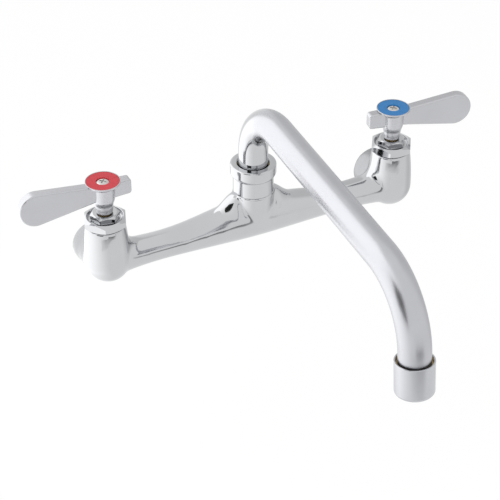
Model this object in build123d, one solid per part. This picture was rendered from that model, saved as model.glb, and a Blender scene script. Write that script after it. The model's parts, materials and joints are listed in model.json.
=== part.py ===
from build123d import *
import os
from math import cos, pi, radians, sin, tan

os.makedirs("parts", exist_ok=True)

# Wall faucet with two quarter-turn ceramic disc valves and a swing spout, in millimetres.
# X runs along the body to the cold side, Y runs into the wall and Z is up. The origin is
# midway between the two inlets, in the plane of the wall. Heights are above that plane's
# inlet centre line, and radii are about the axis of the piece that they belong to.

# Body
inlet_spacing = 203.2           # between the two inlets, and so between the two valves
wall_to_axis = 24.0             # from the wall to the valve and spout axes
valve_radius = 14.6             # valve barrel at the inlet centre line
valve_top_radius = 12.6         # valve barrel at its top face
valve_height = 26.9             # top face of the valve barrel
inlet_barrel_radius = 14.1      # barrel that runs back to the wall
inlet_rim_radius = 15.0         # its rim on the wall
inlet_rim_width = 4.0
inlet_flare_length = 6.0
inlet_thread_radius = 9.6       # half-inch pipe thread, at mid-thread
inlet_thread_length = 12.0
arm_waist_offset = 66.0         # from the middle of the body to the thinnest part of an arm
arm_waist_half_width = 9.4
arm_waist_top = 9.3             # above the inlet centre line
arm_waist_bottom = 9.6          # below it
arm_valve_half_width = 10.6     # where an arm meets a valve
arm_valve_top = 10.6
arm_valve_bottom = 11.1
arm_root_half_width = 12.0      # where it meets the spout boss
arm_root_top = 17.4
arm_root_bottom = 11.0
boss_top_radius = 13.5
boss_bottom_radius = 11.6
boss_height = 24.0
boss_fillet = 8.0
arm_fillet = 8.0
inlet_fillet = 3.0
arm_steps = 6                   # sections of the loft from the middle to a valve
seam_reach = 34.0               # no seam of a boss or a valve lies further along the body
waterway_radius = 4.5           # bore along the arms
waterway_height = 2.7

# Valve, from the seat up
seat_depth = 2.0                # seat below the inlet centre line
seat_land = 1.5                 # metal between the seat and the inlet passage
inlet_passage_radius = 3.3
seat_sump = 0.6                 # floor below the seat, deeper than the inlet passage
seat_bore_radius = 4.5
seal_thickness = 2.0
chamber_radius = 8.5            # bore round the cartridge
disc_radius = 6.9
disc_thickness = 3.0
port_offset = 3.9               # middle of each kidney-shaped port
port_width = 3.2
port_angle = 34.0               # between the middles of its two round ends
disc_key_width = 2.0
disc_key_depth = 0.9
foot_thickness = 3.2            # stem's foot on the turning disc
foot_tongue_width = 2.2
foot_tongue_height = 1.1
foot_headroom = 0.4             # sleeve's shoulder above the foot
stem_radius = 4.0
stem_seal_groove = 1.1          # depth of each groove in the stem
stem_seal_width = 1.5
stem_seal_heights = (14.0, 19.0)
window_width = 9.0
window_height = 4.4
shoulder_height = 14.0          # shoulder that the cartridge hangs on
flange_thickness = 2.0
bonnet_washer_thickness = 1.0
bonnet_bore_radius = 11.0       # threaded mouth of the valve barrel
cartridge_neck_radius = 7.5
bonnet_across_flats = 25.4
bonnet_hex_height = 6.1
bonnet_bevel = 0.9              # how far inside the flats its round faces end
bonnet_web_depth = 2.7          # web's lower face below the barrel's top face
bonnet_web_thickness = 2.8
bonnet_recess_radius = 10.4
bonnet_recess_depth = 2.2
packing_radius = 6.8
packing_thickness = 2.5
packing_nut_across_flats = 16.4
packing_nut_height = 4.7
packing_nut_bevel = 1.1
hex_corner_slope = 30.0         # degrees, of the cones that take off the corners
hot_bonnet_turn = 10.0          # where each hex came to rest when it was tightened
cold_bonnet_turn = -1.6
packing_nut_turn = -10.6

# Handle, from the bottom of its hub up
hub_gap = 0.8                   # hub above the packing nut
hub_height = 22.1
hub_foot_radius = 5.2
hub_neck_radius = 5.7
hub_neck_height = 6.8
hub_barrel_radius = 7.0
hub_barrel_height = 9.4
hub_cup_radius = 7.4
hub_cup_height = 18.0
hub_rim_radius = 11.0
hub_rim_height = 1.0
hub_rim_slope = 0.6             # of the cup's flare where it reaches the rim
index_radius = 10.4
index_thickness = 0.9
index_inset = 0.1               # ring below the rim's top edge
screw_head_radius = 4.0
screw_head_height = 1.9
screw_dome_height = 0.65        # of the head's rounded top
screw_shank_radius = 2.0
screw_grip = 16.0
screw_slot_width = 0.9
spline_length = 9.3
spline_radius = 3.7
spline_depth = 0.4
spline_teeth = 16
lever_centre_height = 15.3      # lever's centre line at the hub
lever_droop = 0.9               # how far the centre of the tip lies below that
lever_length = 54.6             # from the valve axis to the tip
lever_tip_radius = 11.0
lever_root_radius = 4.8
lever_thickness = 6.4
lever_edge = 1.0
stub_length = 17.5
stub_root_half_height = 5.9
stub_tip_half_height = 5.1
stub_corner = 1.8
hot_lever_angle = 180.0         # lever's direction, closed, anticlockwise from X
cold_lever_angle = -7.5

# Spout swivel, from the boss up
neck_radius = 11.3
neck_height = 9.0
swivel_radius = 10.1            # bore that the spout base turns in
swivel_floor = 8.0
base_bottom = 14.0
base_bore_radius = 7.0
socket_floor = 0.5              # tube's lower end above the flange's lower face
base_seal_groove = 1.85
base_seal_width = 2.4
base_seal_heights = (18.0, 25.0)
thrust_washer_thickness = 0.4
base_flange_radius = 11.0
base_flange_height = 5.95
friction_washer_thickness = 0.45
nut_gap = 0.3                   # nut above the boss
nut_radius = 13.15
nut_collar_radius = 14.85
nut_collar_height = 8.3
nut_web_thickness = 4.4
nut_hole_radius = 10.1
nut_mouth = 0.8                 # bevel round the hole

# Spout
spout_reach = 204.5             # from the swivel axis to the tube's tip
tube_radius = 9.525
tube_wall = 1.1
riser_top = 52.5                # where the first bend starts
first_bend_radius = 33.0
second_bend_radius = 44.5
spout_fall = 3.9                # degrees that the long run falls towards the tip
drop_lean = 6.0                 # degrees that the last straight leans outwards
drop_length = 14.9              # straight length below the second bend

# Outlet
shell_radius = 11.6
shell_height = 21.5
shell_wall = 1.0
shell_below_tube = 11.0
shell_lip_height = 1.2
shell_lip_radius = 8.6
shell_edge = 2.2
shell_rim_bevel = 0.3
bush_height = 9.5
bush_lip_height = 1.5
bush_bore_radius = 8.0
outlet_washer_thickness = 1.5
insert_plate_thickness = 2.5
insert_rim_width = 1.2
insert_hole_radius = 0.8
insert_hole_rings = 2
insert_ring_holes = 6           # in the innermost ring
insert_solid_edge = 0.5         # of a ring's pitch, left without holes at the rim
screen_thickness = 0.6
screen_wire = 0.5
screen_pitch = 2.4
screen_rim_lap = 0.6            # of its rim, over the shell's lip

# Fits
running_fit = 0.05              # radial, round whatever turns
thread_fit = 0.1                # radial, between two threads
seated_fit = 0.05               # radial, round whatever is brazed or pressed in
face_gap = 0.05                 # between two faces that turn on each other
small_chamfer = 0.6
cut_margin = 1.0                # how far a cut runs past the face that it opens

# Heights and places that follow from those sizes
half_spacing = inlet_spacing / 2
seat_height = -seat_depth
cartridge_bottom = seat_height + seal_thickness
turning_disc_bottom = cartridge_bottom + disc_thickness + face_gap
foot_bottom = turning_disc_bottom + disc_thickness
foot_top = foot_bottom + foot_thickness
disc_bore_radius = disc_radius + thread_fit
disc_bore_top = foot_top + foot_headroom
bonnet_skirt_bottom = shoulder_height + flange_thickness + bonnet_washer_thickness
bonnet_web_bottom = valve_height - bonnet_web_depth
packing_bottom = bonnet_web_bottom + bonnet_web_thickness
packing_top = packing_bottom + packing_thickness
bonnet_top = valve_height + bonnet_hex_height
packing_nut_bottom = bonnet_top - bonnet_recess_depth
packing_nut_top = packing_nut_bottom + packing_nut_height
hub_bottom = packing_nut_top + hub_gap
hub_top = hub_bottom + hub_height
index_top = hub_top - index_inset
index_bottom = index_top - index_thickness
stem_top = hub_bottom + spline_length
neck_top = boss_height + neck_height
thrust_washer_top = neck_top + thrust_washer_thickness
base_radius = swivel_radius - running_fit
flange_bottom = thrust_washer_top + face_gap
flange_top = flange_bottom + base_flange_height
friction_washer_bottom = flange_top + face_gap
nut_web_bottom = friction_washer_bottom + friction_washer_thickness
nut_top = nut_web_bottom + nut_web_thickness
tube_foot = flange_bottom + socket_floor
spout_plane = Plane(origin=(0, -wall_to_axis, 0), x_dir=(0, -1, 0), z_dir=(-1, 0, 0))
upright = (Align.CENTER, Align.CENTER, Align.MIN)


def disc(radius, bottom, top):
    """Round disc about Z between two heights."""
    return Pos(0, 0, bottom) * Cylinder(radius, top - bottom, align=upright)


def ring(inner, outer, bottom, top):
    """Flat ring about Z between two heights."""
    return disc(outer, bottom, top) - disc(inner, bottom - cut_margin, top + cut_margin)


def turned(*outline):
    """Solid turned about Z from a closed outline of (radius, height) points."""
    return revolve(make_face(Plane.XZ * Polyline(*outline, close=True)), Axis.Z)


def hex_block(across_flats, bottom, top, turn, bevel):
    """Hexagonal block about Z with its corners taken off by a cone at both ends."""
    flats = RegularPolygon(across_flats / 2, 6, major_radius=False)
    block = extrude(Pos(0, 0, bottom) * Rot(0, 0, turn) * flats, top - bottom)
    corner = across_flats / 2 / cos(pi / 6)
    face = across_flats / 2 - bevel
    rise = (corner - face) * tan(radians(hex_corner_slope))
    cones = turned(
        (0, bottom),
        (face, bottom),
        (corner, bottom + rise),
        (corner, top - rise),
        (face, top),
        (0, top),
    )
    return block & cones


def at_valve(shape, side):
    """Move a piece from the origin to the hot (-1) or cold (1) valve axis."""
    return Pos(side * half_spacing, -wall_to_axis, 0) * shape


def on_side(shape, side):
    """Put a shape made for the cold valve on either side, mirrored on the hot one."""
    placed = at_valve(shape, 1)
    return placed if side > 0 else mirror(placed, about=Plane.YZ)


def at_spout(shape):
    """Move a piece from the origin to the swivel axis."""
    return Pos(0, -wall_to_axis, 0) * shape


# The cast body

def along_y(shape):
    """Lay a piece that was turned about Z along Y, its top towards the wall."""
    return Rot(-90, 0, 0) * shape


def ease(share):
    """Smooth step from 0 to 1."""
    return (1 - cos(pi * share)) / 2


def arm_section(offset):
    """Oval section of the two arms at a distance from the middle of the body."""
    distance = abs(offset)
    if distance < arm_waist_offset:
        share = ease(1 - distance / arm_waist_offset)
        end = (arm_root_half_width, arm_root_top, arm_root_bottom)
    else:
        share = ease((distance - arm_waist_offset) / (half_spacing - arm_waist_offset))
        end = (arm_valve_half_width, arm_valve_top, arm_valve_bottom)
    waist = (arm_waist_half_width, arm_waist_top, arm_waist_bottom)
    half_width, top, bottom = [low + (high - low) * share for low, high in zip(waist, end)]
    middle = (offset, -wall_to_axis, (top - bottom) / 2)
    section = Plane(origin=middle, x_dir=(0, 0, -1), z_dir=(1, 0, 0))
    return section * Ellipse((top + bottom) / 2, half_width)


def arms():
    """Both arms as one smooth loft from valve to valve."""
    steps = range(-arm_steps, arm_steps + 1)
    offsets = [half_spacing * step / arm_steps for step in steps]
    return loft([arm_section(offset) for offset in offsets])


def valve_barrel():
    """Upright barrel of one valve: a ball below, a slight taper above."""
    ball = CenterArc((0, 0), valve_radius, -90, 90)
    taper = TangentArc((valve_radius, 0), (valve_top_radius, valve_height), tangent=(0, 1))
    outline = [
        ball,
        taper,
        Line((valve_top_radius, valve_height), (0, valve_height)),
        Line((0, valve_height), (0, -valve_radius)),
    ]
    barrel = revolve(make_face(Plane.XZ * Curve(outline)), Axis.Z)
    return chamfer(barrel.edges().group_by(Axis.Z)[-1], small_chamfer)


def inlet_barrel():
    """Barrel from the valve back to the wall, turned about Z with the wall at the top."""
    flare_start = -(inlet_rim_width + inlet_flare_length)
    flare = Spline(
        (inlet_barrel_radius, flare_start),
        (inlet_rim_radius, -inlet_rim_width),
        tangents=[(0, 1), (0, 1)],
    )
    outline = [
        Line((0, -wall_to_axis), (inlet_barrel_radius, -wall_to_axis)),
        Line((inlet_barrel_radius, -wall_to_axis), (inlet_barrel_radius, flare_start)),
        flare,
        Line((inlet_rim_radius, -inlet_rim_width), (inlet_rim_radius, 0)),
        Line((inlet_rim_radius, 0), (0, 0)),
        Line((0, 0), (0, -wall_to_axis)),
    ]
    barrel = revolve(make_face(Plane.XZ * Curve(outline)), Axis.Z)
    return fillet(barrel.edges().group_by(Axis.Z)[-1], small_chamfer)


def seams_near(body, place, back_only=False):
    """Curved seams that the last union left near a place along the body."""
    plain = (GeomType.LINE, GeomType.CIRCLE)
    seams = [edge for edge in body.edges() if edge.geom_type not in plain]
    seams = [edge for edge in seams if edge.center().Z < boss_height]
    seams = [edge for edge in seams if abs(edge.center().X - place) < seam_reach]
    if back_only:
        seams = [edge for edge in seams if edge.bounding_box().min.Y > -wall_to_axis - cut_margin]
    return seams


def inlet_hollow():
    """Threaded mouth on the wall, turned about Z with the wall at the top."""
    mouth = inlet_thread_radius + small_chamfer
    return turned(
        (0, -inlet_thread_length),
        (inlet_thread_radius, -inlet_thread_length),
        (inlet_thread_radius, -small_chamfer),
        (mouth, 0),
        (mouth, cut_margin),
        (0, cut_margin),
    )


def valve_hollow():
    """Everything hollow in the cold valve, about its own axis."""
    passage_height = seat_height - seat_land - inlet_passage_radius
    passage = disc(inlet_passage_radius, 0, wall_to_axis - inlet_thread_length + cut_margin)
    waterway = disc(waterway_radius, chamber_radius / 2, half_spacing)
    hollow = disc(chamber_radius, seat_height, shoulder_height + cut_margin)
    hollow += disc(bonnet_bore_radius, shoulder_height, valve_height + cut_margin)
    sump_floor = passage_height - inlet_passage_radius - seat_sump
    hollow += disc(seat_bore_radius, sump_floor, seat_height + cut_margin)
    hollow += Pos(0, wall_to_axis, 0) * along_y(inlet_hollow())
    hollow += Pos(0, 0, passage_height) * along_y(passage)
    hollow += Pos(0, 0, waterway_height) * Rot(0, -90, 0) * waterway
    return hollow


def swivel_hollow():
    """Bore that the foot of the spout turns in, open to the waterways below."""
    bore = disc(swivel_radius, swivel_floor, neck_top + cut_margin)
    return bore + disc(base_bore_radius, waterway_height, swivel_floor + cut_margin)


def faucet_body():
    """Casting with both valves, both inlets, the arms, the spout boss and its neck."""
    boss = Cone(boss_bottom_radius, boss_top_radius, boss_height, align=upright)
    body = arms() + at_spout(boss)
    body = fillet(seams_near(body, 0), boss_fillet)
    for side in (-1, 1):
        axis_place = side * half_spacing
        body += on_side(valve_barrel(), side)
        body = fillet(seams_near(body, axis_place), arm_fillet)
        body += on_side(Pos(0, wall_to_axis, 0) * along_y(inlet_barrel()), side)
        body = fillet(seams_near(body, axis_place, back_only=True), inlet_fillet)
    body += at_spout(disc(neck_radius, 0, neck_top))
    for side in (-1, 1):
        body -= on_side(valve_hollow(), side)
    return body - at_spout(swivel_hollow())


# Inside each valve, from the seat up

def seat_seal():
    """Rubber ring between the seat and the cartridge."""
    inner = seat_bore_radius + thread_fit
    outer = chamber_radius - 2 * thread_fit
    return ring(inner, outer, seat_height, cartridge_bottom)


def disc_keys(reach):
    """Two keys that stop the fixed disc from turning in its sleeve."""
    key = Box(disc_key_width, 2 * reach, disc_thickness, align=upright)
    place = Pos(0, 0, cartridge_bottom)
    return place * (Pos(0, disc_radius, 0) * key + Pos(0, -disc_radius, 0) * key)


def cartridge_sleeve():
    """Brass sleeve that holds both discs and guides the stem."""
    outer = chamber_radius - thread_fit
    flange = bonnet_bore_radius - 3 * thread_fit
    flange_top = shoulder_height + flange_thickness
    guide = stem_radius + running_fit
    top = bonnet_web_bottom - face_gap
    sleeve = turned(
        (disc_bore_radius, cartridge_bottom),
        (outer, cartridge_bottom),
        (outer, shoulder_height),
        (flange, shoulder_height),
        (flange, flange_top),
        (cartridge_neck_radius, flange_top),
        (cartridge_neck_radius, top),
        (guide, top),
        (guide, disc_bore_top),
        (disc_bore_radius, disc_bore_top),
    )
    wall = disc(outer, cartridge_bottom, turning_disc_bottom)
    sleeve += disc_keys(disc_key_depth) & wall
    window = Box(2 * (outer + cut_margin), window_width, window_height, align=upright)
    return sleeve - Pos(0, 0, turning_disc_bottom) * window


def ceramic_disc(bottom):
    """Lapped disc with two kidney-shaped ports on the X axis."""
    blank = disc(disc_radius, bottom, bottom + disc_thickness)
    for middle in (0, 180):
        centre_line = CenterArc((0, 0), port_offset, middle - port_angle / 2, port_angle)
        port = extrude(SlotArc(centre_line, port_width), disc_thickness + 2 * cut_margin)
        blank -= Pos(0, 0, bottom - cut_margin) * port
    return blank


def fixed_disc():
    """Lower disc, keyed to the sleeve."""
    return ceramic_disc(cartridge_bottom) - disc_keys(disc_key_depth + thread_fit)


def turning_disc():
    """Upper disc, closed across the lower one's ports, with side outlets and a drive slot."""
    outlet = Box(2 * disc_radius, port_width, disc_thickness, align=upright)
    core = disc(port_offset, turning_disc_bottom, foot_bottom)
    slot_depth = foot_tongue_height + thread_fit
    slot = Box(2 * disc_radius, foot_tongue_width + 2 * thread_fit, slot_depth, align=upright)
    blank = ceramic_disc(turning_disc_bottom)
    blank -= Pos(0, 0, turning_disc_bottom) * outlet - core
    blank = Rot(0, 0, 90) * blank
    return blank - Pos(0, 0, foot_bottom - slot_depth) * slot


def stem():
    """Brass stem: foot with a drive tongue, two seal grooves, splined top, screw hole."""
    foot_radius = disc_radius - thread_fit
    tongue_bottom = foot_bottom - foot_tongue_height
    blank = disc(foot_radius, foot_bottom, foot_top)
    blank += disc(stem_radius, foot_bottom, hub_bottom)
    for height in stem_seal_heights:
        bottom = height - stem_seal_width / 2
        groove_radius = stem_radius - stem_seal_groove
        blank -= ring(groove_radius, stem_radius + cut_margin, bottom, bottom + stem_seal_width)
    tongue = Box(2 * foot_radius, foot_tongue_width, foot_top - tongue_bottom, align=upright)
    blank += Pos(0, 0, tongue_bottom) * tongue & disc(foot_radius, tongue_bottom, foot_top)
    blank += Pos(0, 0, hub_bottom) * extrude(spline_profile(0), spline_length)
    hole_bottom = index_bottom - screw_grip - cut_margin
    return blank - disc(screw_shank_radius + seated_fit, hole_bottom, stem_top + cut_margin)


def spline_profile(clearance):
    """Toothed outline of the stem's top, grown by a clearance for the hub's socket."""
    points = []
    for step in range(2 * spline_teeth):
        radius = spline_radius + clearance - spline_depth * (step % 2)
        points.append(Vector(radius, 0).rotate(Axis.Z, 180 * step / spline_teeth))
    return make_face(Polyline(*points, close=True))


def seal_rings(heights, groove_radius, outer_radius):
    """Round-section rubber rings, one in each groove."""
    thickness = (outer_radius - groove_radius) / 2
    hoop = Torus(outer_radius - thickness, thickness)
    return Compound([Pos(0, 0, height) * hoop for height in heights])


def stem_seals():
    """Both rings on the stem."""
    groove_radius = stem_radius - stem_seal_groove + seated_fit / 2
    return seal_rings(stem_seal_heights, groove_radius, stem_radius + seated_fit / 2)


def bonnet_washer():
    """Fibre ring that the bonnet clamps on the cartridge's flange."""
    bottom = shoulder_height + flange_thickness
    inner = cartridge_neck_radius + thread_fit
    return ring(inner, bonnet_bore_radius - 3 * thread_fit, bottom, bonnet_skirt_bottom)


def bonnet(turn):
    """Large hex that screws into the barrel, dished on top for the packing nut."""
    nut = hex_block(bonnet_across_flats, valve_height, bonnet_top, turn, bonnet_bevel)
    nut += disc(bonnet_bore_radius - thread_fit, bonnet_skirt_bottom, valve_height)
    nut -= disc(cartridge_neck_radius + thread_fit, bonnet_skirt_bottom - cut_margin, bonnet_web_bottom)
    nut -= disc(stem_radius + 3 * thread_fit, bonnet_web_bottom - cut_margin, packing_bottom + cut_margin)
    nut -= disc(packing_radius + thread_fit, packing_bottom, bonnet_top + cut_margin)
    return nut - disc(bonnet_recess_radius, packing_nut_bottom, bonnet_top + cut_margin)


def stem_packing():
    """Soft ring round the stem, pressed down by the packing nut."""
    return ring(stem_radius + running_fit, packing_radius, packing_bottom, packing_top)


def packing_nut():
    """Small hex on a threaded shank."""
    bottom = packing_nut_bottom
    top = packing_nut_top
    nut = hex_block(packing_nut_across_flats, bottom, top, packing_nut_turn, packing_nut_bevel)
    nut += disc(packing_radius, packing_top, bottom)
    return nut - disc(stem_radius + 2 * running_fit, packing_top - cut_margin, top + cut_margin)


# Handle

def lever_blade():
    """Flat paddle that widens to a round tip, along X from the axis."""
    root_height = hub_bottom + lever_centre_height
    tip_reach = lever_length - lever_tip_radius
    root = Circle(lever_root_radius).edges()
    tip = (Pos(tip_reach, -lever_droop) * Circle(lever_tip_radius)).edges()
    outline = make_hull(root + tip)
    blade = extrude(Plane.XZ * Pos(0, root_height) * outline, lever_thickness / 2, both=True)
    return fillet(blade.edges(), lever_edge)


def lever_stub():
    """Short tail opposite the paddle."""
    root_height = hub_bottom + lever_centre_height
    outline = Polygon(
        (0, -stub_root_half_height),
        (0, stub_root_half_height),
        (-stub_length, stub_tip_half_height),
        (-stub_length, -stub_tip_half_height),
        align=None,
    )
    outline = fillet(outline.vertices().group_by(Axis.X)[0], stub_corner)
    tail = extrude(Plane.XZ * Pos(0, root_height) * outline, lever_thickness / 2, both=True)
    return fillet(tail.edges().filter_by(lambda edge: edge.center().X < -hub_neck_radius), lever_edge)


def hub():
    """Turned hub: slim neck, shoulder, barrel and a wide rim for the index ring."""
    neck = (hub_neck_radius, hub_bottom + hub_neck_height)
    barrel = (hub_barrel_radius, hub_bottom + hub_barrel_height)
    cup = (hub_cup_radius, hub_bottom + hub_cup_height)
    rim = (hub_rim_radius, hub_top - hub_rim_height)
    outline = [
        Line((0, hub_bottom), (hub_foot_radius, hub_bottom)),
        Line((hub_foot_radius, hub_bottom), neck),
        Spline(neck, barrel, tangents=[(0, 1), (0, 1)]),
        Line(barrel, cup),
        Spline(cup, rim, tangents=[(0, 1), (1, hub_rim_slope)]),
        Line(rim, (hub_rim_radius, hub_top)),
        Line((hub_rim_radius, hub_top), (0, hub_top)),
        Line((0, hub_top), (0, hub_bottom)),
    ]
    return revolve(make_face(Plane.XZ * Curve(outline)), Axis.Z)


def handle(angle):
    """Hub, paddle and stub in one casting, turned to the lever's direction."""
    casting = Rot(0, 0, angle) * (hub() + lever_blade() + lever_stub())
    casting -= disc(index_radius + seated_fit, index_bottom, hub_top + cut_margin)
    casting -= disc(screw_head_radius + seated_fit, index_top - screw_head_height, hub_top)
    casting -= disc(screw_shank_radius + thread_fit, hub_bottom, hub_top)
    socket_depth = spline_length + face_gap + cut_margin
    socket = extrude(spline_profile(seated_fit), socket_depth)
    return casting - Pos(0, 0, hub_bottom - cut_margin) * socket


def index_ring():
    """Coloured ring let into the hub's rim, round the screw head."""
    inner = screw_head_radius + 3 * seated_fit
    return ring(inner, index_radius, index_bottom, index_top)


def handle_screw():
    """Domed screw with a cross slot, down through the hub into the stem."""
    head_bottom = index_top - screw_head_height
    edge_top = index_top - screw_dome_height
    dome = TangentArc((0, index_top), (screw_head_radius, edge_top), tangent=(1, 0))
    outline = [
        Line((0, head_bottom), (screw_head_radius, head_bottom)),
        Line((screw_head_radius, head_bottom), (screw_head_radius, edge_top)),
        dome,
        Line((0, index_top), (0, head_bottom)),
    ]
    screw = revolve(make_face(Plane.XZ * Curve(outline)), Axis.Z)
    screw += disc(screw_shank_radius, head_bottom - screw_grip, head_bottom)
    for turn in (45, 135):
        slot = Box(screw_head_radius, screw_slot_width, screw_head_height, align=upright)
        screw -= Pos(0, 0, edge_top) * Rot(0, 0, turn) * slot
    return screw


# Spout swivel

def spout_nut():
    """Round nut over the neck, with a thick collar, open in the middle for the tube."""
    bottom = boss_height + nut_gap
    collar_bottom = nut_top - nut_collar_height
    hollow = neck_radius + thread_fit
    shoulder = nut_collar_radius - nut_radius
    outline = Polyline(
        (hollow, bottom),
        (nut_radius, bottom),
        (nut_radius, collar_bottom - shoulder / 2),
        (nut_collar_radius, collar_bottom + shoulder / 2),
        (nut_collar_radius, nut_top),
        (nut_hole_radius + nut_mouth, nut_top),
        (nut_hole_radius, nut_top - nut_mouth),
        (nut_hole_radius, nut_web_bottom),
        (hollow, nut_web_bottom),
        close=True,
    )
    nut = revolve(make_face(Plane.XZ * outline), Axis.Z)
    circles = nut.edges().filter_by(GeomType.CIRCLE)
    rims = circles.filter_by(lambda edge: edge.radius > nut_radius + small_chamfer)
    return fillet(rims, 2 * small_chamfer)


def spout_base():
    """Brass foot of the tube: two seal grooves below, a flange round its socket above."""
    socket = tube_radius + seated_fit
    base = turned(
        (base_bore_radius, base_bottom),
        (base_radius, base_bottom),
        (base_radius, flange_bottom),
        (base_flange_radius, flange_bottom),
        (base_flange_radius, flange_top),
        (socket, flange_top),
        (socket, tube_foot),
        (base_bore_radius, tube_foot),
    )
    for height in base_seal_heights:
        bottom = height - base_seal_width / 2
        groove_radius = base_radius - base_seal_groove
        base -= ring(groove_radius, base_radius + cut_margin, bottom, bottom + base_seal_width)
    return base


def base_seals():
    """Both rubber rings on the spout's foot."""
    groove_radius = base_radius - base_seal_groove + seated_fit / 2
    return seal_rings(base_seal_heights, groove_radius, base_radius)


def thrust_washer():
    """Slippery ring on the neck, under the flange."""
    return ring(swivel_radius, neck_radius, neck_top, thrust_washer_top)


def friction_washer():
    """Slippery ring between the flange and the nut."""
    return ring(nut_hole_radius, neck_radius, friction_washer_bottom, nut_web_bottom)


# Spout and outlet

def spout_path():
    """Centre line: riser, bend, long run that falls a little, bend, drop that leans outwards."""
    fall = radians(spout_fall)
    lean = radians(drop_lean)
    first_end = (first_bend_radius * (1 + sin(fall)), riser_top + first_bend_radius * cos(fall))
    second_reach = second_bend_radius * (cos(lean) - sin(fall)) + drop_length * sin(lean)
    run = (spout_reach - first_end[0] - second_reach) / cos(fall)
    second_start = (first_end[0] + run * cos(fall), first_end[1] - run * sin(fall))
    second_centre = (
        second_start[0] - second_bend_radius * sin(fall),
        second_start[1] - second_bend_radius * cos(fall),
    )
    drop_top = (
        second_centre[0] + second_bend_radius * cos(lean),
        second_centre[1] + second_bend_radius * sin(lean),
    )
    tip = (spout_reach, drop_top[1] - drop_length * cos(lean))
    second_turn = spout_fall + drop_lean - 90
    path = Curve([
        Line((0, tube_foot), (0, riser_top)),
        CenterArc((first_bend_radius, riser_top), first_bend_radius, 180, -90 - spout_fall),
        Line(first_end, second_start),
        CenterArc(second_centre, second_bend_radius, 90 - spout_fall, second_turn),
        Line(drop_top, tip),
    ])
    return spout_plane * path


def spout_tube():
    """Bent tube, open at both ends."""
    path = spout_path().wires()[0]
    start = Plane(origin=(0, -wall_to_axis, tube_foot), z_dir=(0, 0, 1))
    wall = Circle(tube_radius) - Circle(tube_radius - tube_wall)
    return sweep(start * wall, path)


def at_outlet(shape):
    """Move a piece from the origin to the tube's tip and lean it with the drop."""
    tip = spout_path() @ 1
    return Pos(tip.X, tip.Y, tip.Z) * Rot(-drop_lean, 0, 0) * shape


def outlet_bush():
    """Threaded bush brazed on the tip, with a lip that the tube sits on."""
    socket = tube_radius + seated_fit
    outer = shell_radius - shell_wall - thread_fit
    return turned(
        (bush_bore_radius, -bush_lip_height),
        (outer, -bush_lip_height),
        (outer, bush_height - bush_lip_height),
        (socket, bush_height - bush_lip_height),
        (socket, 0),
        (bush_bore_radius, 0),
    )


def outlet_shell():
    """Round shell of the outlet, open at the top, with a lip at the bottom."""
    inner = shell_radius - shell_wall
    bottom = -shell_below_tube
    lip_top = bottom + shell_lip_height
    shell = turned(
        (shell_lip_radius, bottom),
        (shell_radius, bottom),
        (shell_radius, bottom + shell_height),
        (inner, bottom + shell_height),
        (inner, lip_top),
        (shell_lip_radius, lip_top),
    )
    circles = shell.edges().filter_by(GeomType.CIRCLE)
    outer_rims = circles.filter_by(lambda edge: edge.radius > inner + shell_wall / 2)
    shell = fillet(outer_rims.sort_by(Axis.Z)[0], shell_edge)
    return chamfer(shell.edges().group_by(Axis.Z)[-1], shell_rim_bevel)


def outlet_washer():
    """Rubber ring between the bush and the flow insert."""
    outer = shell_radius - shell_wall - thread_fit
    top = -bush_lip_height
    return ring(bush_bore_radius, outer, top - outlet_washer_thickness, top)


def flow_insert():
    """Moulded cup with rings of fine holes in its plate."""
    outer = shell_radius - shell_wall - thread_fit
    top = -bush_lip_height - outlet_washer_thickness
    bottom = shell_lip_height - shell_below_tube
    plate_bottom = top - insert_plate_thickness
    insert = disc(outer, bottom, top) - disc(outer - insert_rim_width, bottom - cut_margin, plate_bottom)
    pitch = (bush_bore_radius - insert_hole_radius) / (insert_hole_rings + insert_solid_edge)
    places = [Pos(0, 0)]
    for number in range(1, insert_hole_rings + 1):
        places += PolarLocations(pitch * number, insert_ring_holes * number)
    holes = Sketch() + [place * Circle(insert_hole_radius) for place in places]
    drills = extrude(holes, insert_plate_thickness + 2 * cut_margin)
    return insert - Pos(0, 0, plate_bottom - cut_margin) * drills


def outlet_screen():
    """Woven screen on the shell's lip, drawn as a flat grid of bars inside a rim."""
    outer = shell_radius - shell_wall - thread_fit - insert_rim_width - thread_fit
    bars = int(outer / screen_pitch)
    grid = Sketch()
    for number in range(-bars, bars + 1):
        grid += Pos(0, number * screen_pitch) * Rectangle(2 * outer, screen_wire)
        grid += Pos(number * screen_pitch, 0) * Rectangle(screen_wire, 2 * outer)
    rim = Circle(outer) - Circle(shell_lip_radius - screen_rim_lap)
    mesh = (grid & Circle(outer)) + rim
    return Pos(0, 0, shell_lip_height - shell_below_tube) * extrude(mesh, screen_thickness)


# Every piece in its place

def save(name, shape):
    """Write one piece to its own file."""
    export_step(shape, "parts/" + name + ".step")


def save_valve(name, side, bonnet_turn, lever_angle):
    """Write one valve and its handle, named for the water that it carries."""
    pieces = {
        "seat_seal": seat_seal(),
        "fixed_disc": fixed_disc(),
        "cartridge_sleeve": cartridge_sleeve(),
        "bonnet_washer": bonnet_washer(),
        "bonnet": bonnet(bonnet_turn),
        "stem_packing": stem_packing(),
        "packing_nut": packing_nut(),
        "turning_disc": turning_disc(),
        "stem": stem(),
        "stem_seals": stem_seals(),
        "handle": handle(lever_angle),
        "index_ring": index_ring(),
        "handle_screw": handle_screw(),
    }
    for piece, shape in pieces.items():
        save(name + "_" + piece, at_valve(shape, side))


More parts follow.
